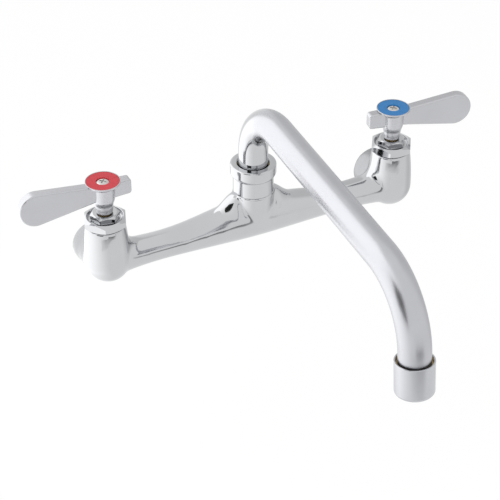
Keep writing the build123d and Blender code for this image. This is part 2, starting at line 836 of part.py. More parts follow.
save("faucet_body", faucet_body())
save_valve("hot", -1, hot_bonnet_turn, hot_lever_angle)
save_valve("cold", 1, cold_bonnet_turn, cold_lever_angle)
save("spout_nut", at_spout(spout_nut()))
save("spout_thrust_washer", at_spout(thrust_washer()))
save("spout_friction_washer", at_spout(friction_washer()))
save("spout_base", at_spout(spout_base()))
save("spout_base_seals", at_spout(base_seals()))
save("spout_tube", spout_tube())
save("outlet_bush", at_outlet(outlet_bush()))
save("outlet_washer", at_outlet(outlet_washer()))
save("outlet_flow_insert", at_outlet(flow_insert()))
save("outlet_screen", at_outlet(outlet_screen()))
save("outlet_shell", at_outlet(outlet_shell()))
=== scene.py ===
import json
from math import atan2, cos, degrees, pi, radians, sin, tan

import bmesh
import bpy
from mathutils import Matrix, Vector


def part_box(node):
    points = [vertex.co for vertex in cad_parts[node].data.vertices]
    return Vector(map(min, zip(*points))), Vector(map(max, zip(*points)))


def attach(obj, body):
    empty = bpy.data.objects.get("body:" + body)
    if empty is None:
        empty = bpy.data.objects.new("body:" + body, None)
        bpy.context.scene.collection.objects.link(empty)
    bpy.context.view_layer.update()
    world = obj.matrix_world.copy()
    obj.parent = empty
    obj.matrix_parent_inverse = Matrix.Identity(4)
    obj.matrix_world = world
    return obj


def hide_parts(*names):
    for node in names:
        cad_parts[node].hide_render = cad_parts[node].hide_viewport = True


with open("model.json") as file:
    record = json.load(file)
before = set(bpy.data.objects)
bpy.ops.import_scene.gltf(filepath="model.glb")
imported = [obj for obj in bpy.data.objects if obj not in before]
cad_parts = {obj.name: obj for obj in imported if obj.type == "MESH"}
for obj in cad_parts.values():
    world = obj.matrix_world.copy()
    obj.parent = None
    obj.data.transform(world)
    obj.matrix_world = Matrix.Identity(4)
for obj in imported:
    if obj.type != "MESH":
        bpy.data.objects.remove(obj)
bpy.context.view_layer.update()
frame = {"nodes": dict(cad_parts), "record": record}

# Sizes of pieces are in millimetres, as on the real faucet, and are scaled once into metres.
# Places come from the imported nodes. The stage, the camera and the finishes are in metres.

mm = 0.001
nodes = frame["nodes"]
scene = bpy.context.scene
scene.view_settings.view_transform = "Standard"
white = (1, 1, 1, 1)
pieces = []  # as they are finished


# Nodes and meshes

def fill(tree, node, inputs):
    # gives each socket its own value, or a link from another node
    for name, value in inputs.items():
        if isinstance(value, bpy.types.NodeSocket):
            tree.links.new(value, node.inputs[name])
        else:
            node.inputs[name].default_value = value


def addNode(tree, kind, inputs=None, **settings):
    node = tree.nodes.new(kind)
    for name, value in settings.items():
        setattr(node, name, value)
    fill(tree, node, inputs or {})
    return node


def newMaterial(name):
    material = bpy.data.materials.new(name)
    material.use_nodes = True
    return material, material.node_tree


def workObject(bm, name):
    mesh = bpy.data.meshes.new(name)
    bm.to_mesh(mesh)
    bm.free()
    thing = bpy.data.objects.new(name, mesh)
    scene.collection.objects.link(thing)
    return thing


def ease(value, start, end):
    # climbs smoothly from 0 at the start to 1 at the end
    share = min(1.0, max(0.0, (value - start) / (end - start)))
    return share * share * (3 - 2 * share)


# Camera

photoView = {
    "azimuth": -25.62,
    "elevation": 35.49,
    "distance": 1.0499,
    "target": (-0.0019, -0.024, -0.0244),
    "lens": 114.47,
    "sensor": 36,
    "shift": 0.001,  # half a pixel, from the framing of the photograph
    "nearest": 0.05,
}


def directionAt(azimuth, elevation):
    # azimuth 0 is straight in front of the faucet, and grows towards the cold side
    turn, rise = radians(azimuth), radians(elevation)
    return Vector((sin(turn) * cos(rise), -cos(turn) * cos(rise), sin(rise)))


def makeCamera(view):
    data = bpy.data.cameras.new("photoCamera")
    data.lens = view["lens"]
    data.sensor_width = view["sensor"]
    data.shift_x = -view["shift"]
    data.shift_y = view["shift"]
    data.clip_start = view["nearest"]
    camera = bpy.data.objects.new("photoCamera", data)
    scene.collection.objects.link(camera)
    back = directionAt(view["azimuth"], view["elevation"])
    camera.location = Vector(view["target"]) + back * view["distance"]
    camera.rotation_euler = back.to_track_quat("Z", "Y").to_euler()
    scene.camera = camera


# Room, floor and lamp

studio = {
    "skyLight": 0.62,  # what the pale room sheds on the object
    "floorDrop": 0.26,  # floor below the inlets
    "floorHalf": 6.0,  # half its width
    "floorGlow": 0.85,
    "floorTone": 0.20,
    "lampPower": 9.0,
    "lampSize": 1.4,
    "lampPlace": (-0.9, -0.5, 1.5),
}


def backdropFactor(tree):
    # 1 for what the camera, a mirror or glass sees, 0 for the light that falls on things
    rays = addNode(tree, "ShaderNodeLightPath").outputs
    seen = addNode(tree, "ShaderNodeMath", {0: rays["Is Camera Ray"], 1: rays["Is Glossy Ray"]},
                   operation="MAXIMUM")
    return addNode(tree, "ShaderNodeMath", {0: seen.outputs[0], 1: rays["Is Transmission Ray"]},
                   operation="MAXIMUM").outputs[0]


def makeWorld(room):
    world = bpy.data.worlds.new("paleRoom")
    world.use_nodes = True
    scene.world = world
    tree = world.node_tree
    tree.nodes.clear()
    light = addNode(tree, "ShaderNodeBackground", {"Color": white, "Strength": room["skyLight"]})
    backdrop = addNode(tree, "ShaderNodeBackground", {"Color": white})
    mix = addNode(tree, "ShaderNodeMixShader",
                  {0: backdropFactor(tree), 1: light.outputs[0], 2: backdrop.outputs[0]})
    addNode(tree, "ShaderNodeOutputWorld", {"Surface": mix.outputs[0]})


def makeFloor(room):
    bm = bmesh.new()
    bmesh.ops.create_grid(bm, x_segments=1, y_segments=1, size=room["floorHalf"])
    bmesh.ops.translate(bm, verts=bm.verts, vec=(0, 0, -room["floorDrop"]))
    floor = workObject(bm, "floor")
    material, tree = newMaterial("paleFloor")
    glow = addNode(tree, "ShaderNodeMath", {0: backdropFactor(tree), 1: room["floorGlow"]},
                   operation="MULTIPLY")
    fill(tree, tree.nodes["Principled BSDF"], {
        "Base Color": (*[room["floorTone"]] * 3, 1),
        "Roughness": 1.0,
        "Specular IOR Level": 0.0,
        "Emission Color": white,
        "Emission Strength": glow.outputs[0],
    })
    floor.data.materials.append(material)


def makeLamp(room):
    data = bpy.data.lights.new("overheadLamp", "AREA")
    data.energy = room["lampPower"]
    data.size = room["lampSize"]
    lamp = bpy.data.objects.new("overheadLamp", data)
    lamp.location = room["lampPlace"]
    lamp.rotation_euler = Vector(room["lampPlace"]).to_track_quat("Z", "Y").to_euler()
    lamp.visible_glossy = False
    scene.collection.objects.link(lamp)


# Cards round the table, seen only in the metal. Each is an edge of (distance, height) turned
# along an arc of azimuths, with its glow, and the degrees over which that fades at each end.
# A glow of 1 is the room's. A card that fades inwards has it at the first point of its edge.

cards = {
    "softBox": {
        "arc": (-172, -15), "fade": (10, 105), "glow": 1.75, "fadesInwards": True,
        "edge": ((0.08, -0.25), (0.34, -0.25), (0.80, -0.25), (0.80, 1.50)),
    },
    "greySide": {
        "arc": (56, 165), "fade": (34, 15), "glow": 0.78, "fadesInwards": True,
        "edge": ((0.20, -0.25), (0.40, -0.25), (0.90, -0.25), (0.90, 1.30)),
    },
    "darkFront": {
        "arc": (-74, -37), "fade": (3, 5), "glow": 0.02, "fadesInwards": False,
        "edge": ((0.79, 0.14), (0.79, 0.66)),
    },
    "greyTable": {
        "arc": (-50, 34), "fade": (24, 24), "glow": 0.30, "fadesInwards": True,
        "edge": ((0.62, -0.24), (0.86, -0.24), (1.40, -0.24)),
    },
}
cardCentre = (0, -0.024, 0)  # on the boss's axis, level with the inlets
cardSteps = 70


def glowAt(place, card):
    start, end = card["arc"]
    first, last = card["fade"]
    nearest = card["edge"][0][0] + mm
    if card["fadesInwards"] and place.xy.length < nearest:
        return 1.0
    azimuth = degrees(atan2(place.x, -place.y))
    share = min(ease(azimuth, start, start + first), ease(azimuth, end, end - last))
    return 1.0 + (card["glow"] - 1.0) * share


def makeCard(name, card):
    bm = bmesh.new()
    start, end = card["arc"]
    ahead = directionAt(start, 0)
    corners = [bm.verts.new(ahead * reach + Vector((0, 0, height))) for reach, height in card["edge"]]
    edges = [bm.edges.new(pair) for pair in zip(corners, corners[1:])]
    bmesh.ops.spin(
        bm, geom=corners + edges, cent=(0, 0, 0), axis=(0, 0, 1), dvec=(0, 0, 0),
        angle=radians(end - start), steps=cardSteps, use_merge=False, use_duplicate=False,
    )
    levels = [glowAt(v.co, card) for v in bm.verts]
    bmesh.ops.translate(bm, verts=bm.verts, vec=cardCentre)
    thing = workObject(bm, name)
    thing.data.attributes.new("glow", "FLOAT", "POINT").data.foreach_set("value", levels)
    material, tree = newMaterial(name)
    tree.nodes.clear()
    level = addNode(tree, "ShaderNodeAttribute", attribute_name="glow")
    light = addNode(tree, "ShaderNodeEmission", {"Strength": level.outputs["Fac"]})
    addNode(tree, "ShaderNodeOutputMaterial", {"Surface": light.outputs[0]})
    thing.data.materials.append(material)
    thing.visible_camera = False
    thing.visible_diffuse = False
    thing.visible_shadow = False
    thing.visible_transmission = False


# Finishes: a tone that clouds vary a little, roughness from and to, and a fine waviness.
# grain and bumpGrain are how many clouds and waves there are along a metre.

chromeTone = (0.545, 0.552, 0.565)
brightChrome = {
    "tone": chromeTone, "variation": 0.02, "metallic": 1.0,
    "rough": (0.045, 0.085), "grain": 55, "bump": 0.00002, "bumpGrain": 90,
}
indexPaint = {
    "variation": 0.08, "metallic": 0.0, "shine": 0.22,
    "rough": (0.30, 0.42), "grain": 240, "bump": 0.00002, "bumpGrain": 420,
}

finishes = {
    "bright_chrome": brightChrome,
    "cast_chrome": {  # darker and rougher towards the wall, on the inlets behind the valves
        **brightChrome,
        "blend": {"from": -0.0205, "to": -0.0160, "tone": (0.34, 0.345, 0.355), "rough": 0.32},
    },
    "satin_chrome": {
        "tone": (0.545, 0.548, 0.57), "variation": 0.03, "metallic": 1.0,
        "rough": (0.24, 0.28), "grain": 45, "bump": 0.000004, "bumpGrain": 260,
    },
    "spout_chrome": {  # brushed, and brighter on the riser
        "tone": (0.52, 0.525, 0.55), "variation": 0.02, "metallic": 1.0,
        "rough": (0.27, 0.34), "grain": 80, "bump": 0.00001, "bumpGrain": 300,
        "blend": {"from": -0.050, "to": -0.034, "tone": chromeTone, "rough": 0.09},
    },
    "shell_chrome": {
        "tone": (0.53, 0.535, 0.56), "variation": 0.02, "metallic": 1.0,
        "rough": (0.12, 0.17), "grain": 80, "bump": 0.00001, "bumpGrain": 300,
    },
    "brass": {
        "tone": (0.40, 0.29, 0.14), "variation": 0.12, "metallic": 1.0,
        "rough": (0.30, 0.45), "grain": 140, "bump": 0.00002, "bumpGrain": 600,
    },
    "rubber": {
        "tone": (0.028, 0.028, 0.030), "variation": 0.25, "metallic": 0.0,
        "rough": (0.55, 0.70), "grain": 300, "bump": 0.00003, "bumpGrain": 900,
    },
    "ceramic": {
        "tone": (0.82, 0.81, 0.78), "variation": 0.03, "metallic": 0.0,
        "rough": (0.12, 0.20), "grain": 200, "bump": 0.00001, "bumpGrain": 700,
    },
    "fibre": {
        "tone": (0.42, 0.16, 0.09), "variation": 0.20, "metallic": 0.0,
        "rough": (0.75, 0.90), "grain": 400, "bump": 0.00005, "bumpGrain": 1200,
    },
    "packing": {
        "tone": (0.10, 0.10, 0.105), "variation": 0.30, "metallic": 0.0,
        "rough": (0.60, 0.80), "grain": 500, "bump": 0.00005, "bumpGrain": 1000,
    },
    "slip_washer": {
        "tone": (0.86, 0.86, 0.84), "variation": 0.03, "metallic": 0.0,
        "rough": (0.35, 0.45), "grain": 200, "bump": 0.00001, "bumpGrain": 500,
    },
    "moulded_insert": {
        "tone": (0.62, 0.63, 0.64), "variation": 0.04, "metallic": 0.0,
        "rough": (0.30, 0.42), "grain": 200, "bump": 0.00002, "bumpGrain": 500,
    },
    "screen_steel": {
        "tone": (0.48, 0.48, 0.49), "variation": 0.08, "metallic": 1.0,
        "rough": (0.25, 0.35), "grain": 400, "bump": 0.00001, "bumpGrain": 900,
    },
    "screw_steel": {
        "tone": (0.66, 0.64, 0.62), "variation": 0.06, "metallic": 1.0,
        "rough": (0.14, 0.24), "grain": 300, "bump": 0.00001, "bumpGrain": 800,
    },
    "red_index": {**indexPaint, "tone": (0.70, 0.06, 0.078)},
    "blue_index": {**indexPaint, "tone": (0.035, 0.235, 0.575)},
}
usualShine = 0.5
cloudSpread = (0.3, 0.7)  # the part of the clouds that the tone and the roughness follow
cloudDetail = 3
waveDetail = 2
waveStrength = 0.6


def blendedSkin(tree, coords, blend, colour, roughness):
    # passes to another tone and roughness as the surface nears the wall
    depth = addNode(tree, "ShaderNodeSeparateXYZ", {"Vector": coords}).outputs["Y"]
    share = addNode(tree, "ShaderNodeMapRange", {
        "Value": depth, "From Min": blend["from"], "From Max": blend["to"],
    }, interpolation_type="SMOOTHSTEP").outputs[0]
    tone = (*blend["tone"], 1)
    tint = addNode(tree, "ShaderNodeMixRGB", {"Fac": share, "Color1": colour, "Color2": tone})
    rough = addNode(tree, "ShaderNodeMix", {"Factor": share, "A": roughness, "B": blend["rough"]})
    return tint.outputs[0], rough.outputs["Result"]


def makeFinish(name, look):
    material, tree = newMaterial(name + "_finish")
    coords = addNode(tree, "ShaderNodeTexCoord").outputs["Object"]
    clouds = addNode(tree, "ShaderNodeTexNoise", {
        "Vector": coords, "Scale": look["grain"], "Detail": cloudDetail,
    }).outputs["Fac"]
    tones = addNode(tree, "ShaderNodeValToRGB", {"Fac": clouds})
    for stop, position, side in zip(tones.color_ramp.elements, cloudSpread, (-1, 1)):
        stop.position = position
        stop.color = (*[min(1.0, tone * (1 + side * look["variation"])) for tone in look["tone"]], 1)
    colour = tones.outputs[0]
    roughness = addNode(tree, "ShaderNodeMapRange", {
        "Value": clouds, "From Min": cloudSpread[0], "From Max": cloudSpread[1],
        "To Min": look["rough"][0], "To Max": look["rough"][1],
    }).outputs[0]
    if "blend" in look:
        colour, roughness = blendedSkin(tree, coords, look["blend"], colour, roughness)
    waves = addNode(tree, "ShaderNodeTexNoise", {
        "Vector": coords, "Scale": look["bumpGrain"], "Detail": waveDetail,
    })
    bump = addNode(tree, "ShaderNodeBump", {
        "Height": waves.outputs["Fac"], "Strength": waveStrength, "Distance": look["bump"],
    })
    fill(tree, tree.nodes["Principled BSDF"], {
        "Metallic": look["metallic"],
        "Specular IOR Level": look.get("shine", usualShine),
        "Base Color": colour,
        "Roughness": roughness,
        "Normal": bump.outputs[0],
    })
    return material


# Ways of making

weldGap = 0.0005  # in millimetres, as is the next
cutGap = 0.0001
cornerSegments = 6


def turnedShape(outline, steps):
    # outline runs anticlockwise through (radius, height, rounding) and is turned about Z
    bm = bmesh.new()
    corners = [bm.verts.new((radius, 0, height)) for radius, height, rounding in outline]
    pairs = list(zip(corners, corners[1:]))
    if all(radius > 0 for radius, height, rounding in outline):
        pairs.append((corners[-1], corners[0]))
    for pair in pairs:
        bm.edges.new(pair)
    for corner, (radius, height, rounding) in zip(corners, outline):
        if rounding:
            roundCorners(bm, [corner], rounding)
    bmesh.ops.spin(
        bm, geom=bm.verts[:] + bm.edges[:], cent=(0, 0, 0), axis=(0, 0, 1), dvec=(0, 0, 0),
        angle=2 * pi, steps=steps, use_merge=True, use_duplicate=False,
    )
    bmesh.ops.remove_doubles(bm, verts=bm.verts, dist=weldGap)
    bmesh.ops.recalc_face_normals(bm, faces=bm.faces)
    return bm


def roundCorners(bm, corners, radius):
    bmesh.ops.bevel(
        bm, geom=corners, offset=radius, offset_type="OFFSET", segments=cornerSegments,
        profile=0.5, affect="VERTICES", clamp_overlap=True, material=-1,
    )


def roundEdges(bm, width, above, segments=3, keep=None):
    # a small radius on every edge that turns by more degrees than above
    bm.normal_update()
    edges = [e for e in bm.edges if len(e.link_faces) == 2 and e.calc_face_angle() > radians(above)]
    if keep:
        edges = [e for e in edges if keep(e)]
    bmesh.ops.bevel(
        bm, geom=edges, offset=width, offset_type="OFFSET", segments=segments,
        profile=0.5, affect="EDGES", clamp_overlap=True, material=-1,
    )


def cutAway(bm, point, outward):
    # takes off what lies beyond a plane and closes the cut
    cut = bmesh.ops.bisect_plane(
        bm, geom=bm.verts[:] + bm.edges[:] + bm.faces[:], dist=cutGap,
        plane_co=point, plane_no=outward, clear_outer=True,
    )
    rim = [part for part in cut["geom_cut"] if isinstance(part, bmesh.types.BMEdge)]
    bmesh.ops.holes_fill(bm, edges=rim, sides=0)


def uprightAxis(node, height=0):
    # a move onto the upright axis of a node
    low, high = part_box(node)
    return Matrix.Translation(((low.x + high.x) / 2, (low.y + high.y) / 2, height))


def settle(thing):
    # replaces a mesh by what its modifiers make of it
    bpy.context.view_layer.update()
    ready = thing.evaluated_get(bpy.context.evaluated_depsgraph_get())
    mesh = bpy.data.meshes.new_from_object(ready)
    thing.modifiers.clear()
    thing.data = mesh


def combine(base, other, operation):
    # joins or cuts a work object with another, which is then thrown away
    step = base.modifiers.new(operation, "BOOLEAN")
    step.operation = operation
    step.solver = "EXACT"
    step.object = other
    settle(base)
    bpy.data.objects.remove(other)


def meshOf(thing):
    # turns a work object back into a bmesh
    bm = bmesh.new()
    bm.from_mesh(thing.data)
    bpy.data.objects.remove(thing)
    return bm


def finishPiece(piece, body, slot, skin, replaced, sharp):
    # skin, edges that look sharp above some degrees, the body the piece moves with, and the node it stands
    # in for hidden
    mesh = piece.data
    mesh.materials.clear()
    mesh.materials.append(skins[skin or slot])
    mesh.shade_smooth()
    mesh.set_sharp_from_angle(angle=radians(sharp))
    weighted = piece.modifiers.new("evenNormals", "WEIGHTED_NORMAL")
    weighted.keep_sharp = True
    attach(piece, body)
    if replaced:
        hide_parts(replaced)
    pieces.append(piece)


def toPiece(bm, name, body, slot, place, sharp, replaced=None, skin=None):
    # scales a mesh from millimetres into place and finishes it
    bmesh.ops.scale(bm, vec=(mm, mm, mm), verts=bm.verts)
    bmesh.ops.transform(bm, matrix=place, verts=bm.verts)
    bmesh.ops.recalc_face_normals(bm, faces=bm.faces)
    piece = workObject(bm, name)
    finishPiece(piece, body, slot, skin, replaced, sharp)
    return piece


# Cast body

castBody = {
    "weldGap": 0.000004,  # in metres, as is the voxel
    "voxel": 0.0007,
    "smoothing": 0.5,
    "polishPasses": 14,
    "armPasses": 60,
    "armStart": (11, 18),  # distances from the boss's axis between which the arms' passes come in
    "armEnd": (92, 84),  # and the same from the valve's side
    "sharp": 180,  # degrees above which an edge looks sharp, so here none does
}

# the arms sweep up to the spout nut
shoulderSizes = {
    "outline": (  # radius about the arm, distance from the boss's axis, rounding
        (0, 12.8, 0), (24.1, 12.8, 0), (24.1, 15.0, 0), (21.4, 18.7, 2.0), (18.3, 22.0, 0),
        (15.6, 25.7, 3.0), (13.7, 30.0, 3.0), (12.0, 38.0, 0), (0, 38.0, 0),
    ),
    "squash": 0.46,
    "floor": 9.0,
    "steps": 96,
}


def shoulderMesh(side, sizes):
    # half of a squashed turned shape that lies along an arm
    bm = turnedShape(sizes["outline"], sizes["steps"])
    bmesh.ops.rotate(bm, verts=bm.verts, cent=(0, 0, 0), matrix=Matrix.Rotation(side * pi / 2, 3, "Y"))
    bmesh.ops.scale(bm, verts=bm.verts, vec=(1, sizes["squash"], 1))
    cutAway(bm, (0, 0, sizes["floor"]), (0, 0, -1))
    bmesh.ops.recalc_face_normals(bm, faces=bm.faces)
    bmesh.ops.scale(bm, verts=bm.verts, vec=(mm, mm, mm))
    bmesh.ops.transform(bm, matrix=uprightAxis("spout_nut"), verts=bm.verts)
    mesh = bpy.data.meshes.new("shoulder")
    bm.to_mesh(mesh)
    bm.free()
    return mesh


def makeBody(body, shoulder):
    bm = bmesh.new()
    bm.from_mesh(nodes["faucet_body"].data)
    bmesh.ops.remove_doubles(bm, verts=bm.verts, dist=body["weldGap"])
    for side in (-1, 1):
        bm.from_mesh(shoulderMesh(side, shoulder))
    piece = workObject(bm, "cast_body")
    cast = piece.modifiers.new("evenSkin", "REMESH")
    cast.mode = "VOXEL"
    cast.voxel_size = body["voxel"]
    settle(piece)
    arms = piece.vertex_groups.new(name="arms")
    for vertex in piece.data.vertices:
        reach = abs(vertex.co.x) / mm
        share = min(ease(reach, *body["armStart"]), ease(reach, *body["armEnd"]))
        if share > 0:
            arms.add([vertex.index], share, "REPLACE")
    for passes, group in ((body["polishPasses"], ""), (body["armPasses"], "arms")):
        polish = piece.modifiers.new("polish", "SMOOTH")
        polish.factor = body["smoothing"]
        polish.iterations = passes
        polish.vertex_group = group
    settle(piece)
    finishPiece(piece, "body", "bright_chrome", "cast_chrome", "faucet_body", body["sharp"])


threadSizes = {
    "pitch": 1.814,
    "flank": 0.42,  # width of each side of the ridge, as a share of the pitch
    "turns": 5.4,
    "root": 9.75,
    "crest": 8.95,
    "start": 1.2,  # behind the inlet's mouth
    "steps": 64,  # in one turn
    "sharp": 30,
}


def makeInletThread(side, sizes):
    # a helical ridge on the wall of the inlet's mouth
    bm = bmesh.new()
    start = -sizes["start"]
    flank = sizes["pitch"] * sizes["flank"]
    ridge = [
        bm.verts.new((sizes["root"], start, 0)),
        bm.verts.new((sizes["crest"], start - flank, 0)),
        bm.verts.new((sizes["root"], start - 2 * flank, 0)),
    ]
    section = bm.faces.new(ridge)
    bmesh.ops.spin(
        bm, geom=[section], cent=(0, 0, 0), axis=(0, 1, 0),
        dvec=(0, -sizes["pitch"] / sizes["steps"], 0), angle=2 * pi * sizes["turns"],
        steps=round(sizes["steps"] * sizes["turns"]), use_merge=False, use_duplicate=False,
    )
    bmesh.ops.remove_doubles(bm, verts=bm.verts, dist=weldGap)
    across = uprightAxis(side + "_bonnet").translation.x
    mouth = Matrix.Translation((across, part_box("faucet_body")[1].y, 0))
    toPiece(bm, side + "_inlet_thread", "body", "bright_chrome", mouth, sizes["sharp"])


# Hexes on the valves

hexMaking = {
    "slope": 30.0,  # degrees, of the cones that take off the corners
    "steps": 144,
    "roundAbove": 18,  # degrees
    "sharp": 30,
}

bonnetSizes = {
    "acrossFlats": 25.4,
    "height": 6.1,
    "bevel": 0.9,
    "edge": 0.22,
    "turn": {"hot": 10.0, "cold": -1.6},
    "dishRadius": 10.4,
    "dishDepth": 2.2,
    "dishSlope": 1.1,  # how much wider the dish is at its mouth
    "mouthRounding": 0.3,
    "dishRounding": 0.6,
    "boreRadius": 6.9,
    "skirtRadius": 10.9,
    "margin": 0.01,
}

packingNutSizes = {
    "acrossFlats": 16.4,
    "height": 4.7,
    "bevel": 0.75,
    "edge": 0.2,
    "turn": {"hot": -10.6, "cold": -10.6},
    "mouthRounding": 0.3,
    "boreRadius": 4.12,
    "shankRadius": 6.8,
}


def hexOutline(sizes, bottom, top):
    corner = sizes["acrossFlats"] / 2 / cos(pi / 6)
    face = sizes["acrossFlats"] / 2 - sizes["bevel"]
    rise = (corner - face) * tan(radians(hexMaking["slope"]))
    return [(face, bottom, 0), (corner, bottom + rise, 0), (corner, top - rise, 0), (face, top, 0)]


def hexBlank(outline, sizes, side):
    # six planes take the sides off a turned blank, as a mill does
    bm = turnedShape(outline, hexMaking["steps"])
    for number in range(6):
        angle = radians(sizes["turn"][side] + 30 + 60 * number)
        outward = Vector((cos(angle), sin(angle), 0))
        cutAway(bm, outward * sizes["acrossFlats"] / 2, outward)
    bmesh.ops.recalc_face_normals(bm, faces=bm.faces)
    return bm


def makeBonnet(side, sizes):
    name = side + "_bonnet"
    low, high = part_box(name)
    foot, top = low.z / mm, high.z / mm
    bottom = top - sizes["height"]
    dish = top - sizes["dishDepth"]
    bm = hexBlank(hexOutline(sizes, bottom, top) + [
        (sizes["dishRadius"] + sizes["dishSlope"], top, sizes["mouthRounding"]),
        (sizes["dishRadius"], dish, sizes["dishRounding"]),
        (sizes["boreRadius"], dish, 0),
        (sizes["boreRadius"], foot, 0),
        (sizes["skirtRadius"], foot, 0),
        (sizes["skirtRadius"], bottom, 0),
    ], sizes, side)
    lowest = bottom - sizes["margin"]  # the skirt's edges stay sharp
    roundEdges(bm, sizes["edge"], hexMaking["roundAbove"],
               keep=lambda e: min(v.co.z for v in e.verts) > lowest)
    toPiece(bm, side + "_hex_bonnet", "body", "bright_chrome", uprightAxis(name), hexMaking["sharp"], name)


def makePackingNut(side, sizes):
    name = side + "_packing_nut"
    low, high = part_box(name)
    foot, top = low.z / mm, high.z / mm
    bottom = top - sizes["height"]
    bm = hexBlank(hexOutline(sizes, bottom, top) + [
        (sizes["boreRadius"], top, sizes["mouthRounding"]),
        (sizes["boreRadius"], foot, 0),
        (sizes["shankRadius"], foot, 0),
        (sizes["shankRadius"], bottom, 0),
    ], sizes, side)
    roundEdges(bm, sizes["edge"], hexMaking["roundAbove"])
    toPiece(bm, side + "_gland_nut", "body", "bright_chrome", uprightAxis(name), hexMaking["sharp"], name)


# Handles

handleSizes = {
    "hubHeight": 22.1,
    "foot": (5.2, 0, 0.35),  # radius, height above the foot and rounding
    "neck": (5.8, 5.6, 0.8),
    "barrel": (7.0, 9.4, 0.8),
    "cup": (7.4, 19.4, 2.0),
    "rim": (11.0, 1.0),  # radius, and depth below the top
    "rimRounding": (0.15, 0.2),  # below and on top
    "pocket": (10.45, 1.0),
    "pocketRounding": 0.12,
    "screwPocket": (4.05, 2.0),
    "socket": (3.95, 9.4),  # radius, and height above the foot
    "socketRounding": 0.2,
    "socketMargin": 1,
    "leverHeight": 15.3,
    "leverDroop": 0.9,
    "leverLength": 54.6,
    "tipRadius": 11.0,
    "rootRadius": 4.8,
    "thickness": 6.4,
    "stubLength": 17.5,
    "stubRoot": 5.9,
    "stubTip": 5.1,
    "stubCorner": 1.8,
    "edge": 1.0,
    "edgeSegments": 5,
    "roundAbove": 50,  # degrees
    "flatBelow": 1,  # degrees between two faces that become one
    "sharp": 30,
    "direction": {"hot": 180.0, "cold": -7.5},  # degrees from the way to the cold side
    "hubSteps": 120,
    "socketSteps": 60,
    "leverSteps": 96,
}


def hubShape(sizes):
    # a socket for the stem below, pockets for the ring and the screw on top
    top = sizes["hubHeight"]
    rim, rimDepth = sizes["rim"]
    pocket, pocketDepth = sizes["pocket"]
    screw, screwDepth = sizes["screwPocket"]
    socket, socketTop = sizes["socket"]
    return turnedShape([
        (0, socketTop, 0),
        (socket, socketTop, 0),
        (socket, 0, sizes["socketRounding"]),
        sizes["foot"],
        sizes["neck"],
        sizes["barrel"],
        sizes["cup"],
        (rim, top - rimDepth, sizes["rimRounding"][0]),
        (rim, top, sizes["rimRounding"][1]),
        (pocket, top, sizes["pocketRounding"]),
        (pocket, top - pocketDepth, 0),
        (screw, top - pocketDepth, 0),
        (screw, top - screwDepth, 0),
        (0, top - screwDepth, 0),
    ], sizes["hubSteps"])


def socketShape(sizes):
    # frees the socket of what the lever fills
    radius, top = sizes["socket"]
    foot = -sizes["socketMargin"]
    return turnedShape([
        (0, foot, 0),
        (radius, foot, 0),
        (radius, top, 0),
        (0, top, 0),
    ], sizes["socketSteps"])


def bladeShape(sizes):
    # a hull over two round discs: the small one inside the hub, the large one at the tip
    bm = bmesh.new()
    tipReach = sizes["leverLength"] - sizes["tipRadius"]
    discs = ((sizes["rootRadius"], 0, 0), (sizes["tipRadius"], tipReach, -sizes["leverDroop"]))
    upended = Matrix.Rotation(pi / 2, 4, "X")
    for radius, reach, rise in discs:
        place = Matrix.Translation((reach, 0, sizes["leverHeight"] + rise)) @ upended
        bmesh.ops.create_cone(
            bm, cap_ends=True, segments=sizes["leverSteps"], radius1=radius, radius2=radius,
            depth=sizes["thickness"], matrix=place,
        )
    hull = bmesh.ops.convex_hull(bm, input=bm.verts[:], use_existing_faces=False)
    spare = [part for part in hull["geom_interior"] if isinstance(part, bmesh.types.BMVert)]
    bmesh.ops.delete(bm, geom=spare, context="VERTS")
    flat = radians(sizes["flatBelow"])
    bmesh.ops.dissolve_limit(bm, angle_limit=flat, verts=bm.verts[:], edges=bm.edges[:])
    roundEdges(bm, sizes["edge"], sizes["roundAbove"], sizes["edgeSegments"])
    return bm


def stubShape(sizes):
    # a short tapered bar opposite the blade
    bm = bmesh.new()
    root, tip, length = sizes["stubRoot"], sizes["stubTip"], sizes["stubLength"]
    corners = [
        bm.verts.new((0, 0, -root)),
        bm.verts.new((0, 0, root)),
        bm.verts.new((-length, 0, tip)),
        bm.verts.new((-length, 0, -tip)),
    ]
    bm.faces.new(corners)
    roundCorners(bm, corners[2:], sizes["stubCorner"])
    side = bmesh.ops.extrude_face_region(bm, geom=bm.faces[:])
    moved = [part for part in side["geom"] if isinstance(part, bmesh.types.BMVert)]
    bmesh.ops.translate(bm, verts=moved, vec=(0, sizes["thickness"], 0))
    bmesh.ops.translate(bm, verts=bm.verts, vec=(0, -sizes["thickness"] / 2, sizes["leverHeight"]))
    bmesh.ops.recalc_face_normals(bm, faces=bm.faces)
    # the edges inside the hub stay sharp
    roundEdges(bm, sizes["edge"], sizes["roundAbove"], sizes["edgeSegments"],
               keep=lambda e: min(v.co.x for v in e.verts) < -sizes["edge"])
    return bm


def makeHandle(side, sizes):
    name = side + "_handle"
    handle = workObject(hubShape(sizes), "handle")
    combine(handle, workObject(bladeShape(sizes), "blade"), "UNION")
    combine(handle, workObject(stubShape(sizes), "stub"), "UNION")
    combine(handle, workObject(socketShape(sizes), "socket"), "DIFFERENCE")
    turn = Matrix.Rotation(radians(sizes["direction"][side]), 4, "Z")
    place = uprightAxis(side + "_index_ring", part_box(name)[0].z) @ turn
    toPiece(meshOf(handle), side + "_lever_handle", name, "satin_chrome", place, sizes["sharp"], name)


indexSizes = {
    "outer": 10.4,
    "inner": 4.15,
    "thickness": 0.9,
    "rounding": 0.25,
    "steps": 120,
    "sharp": 40,
}


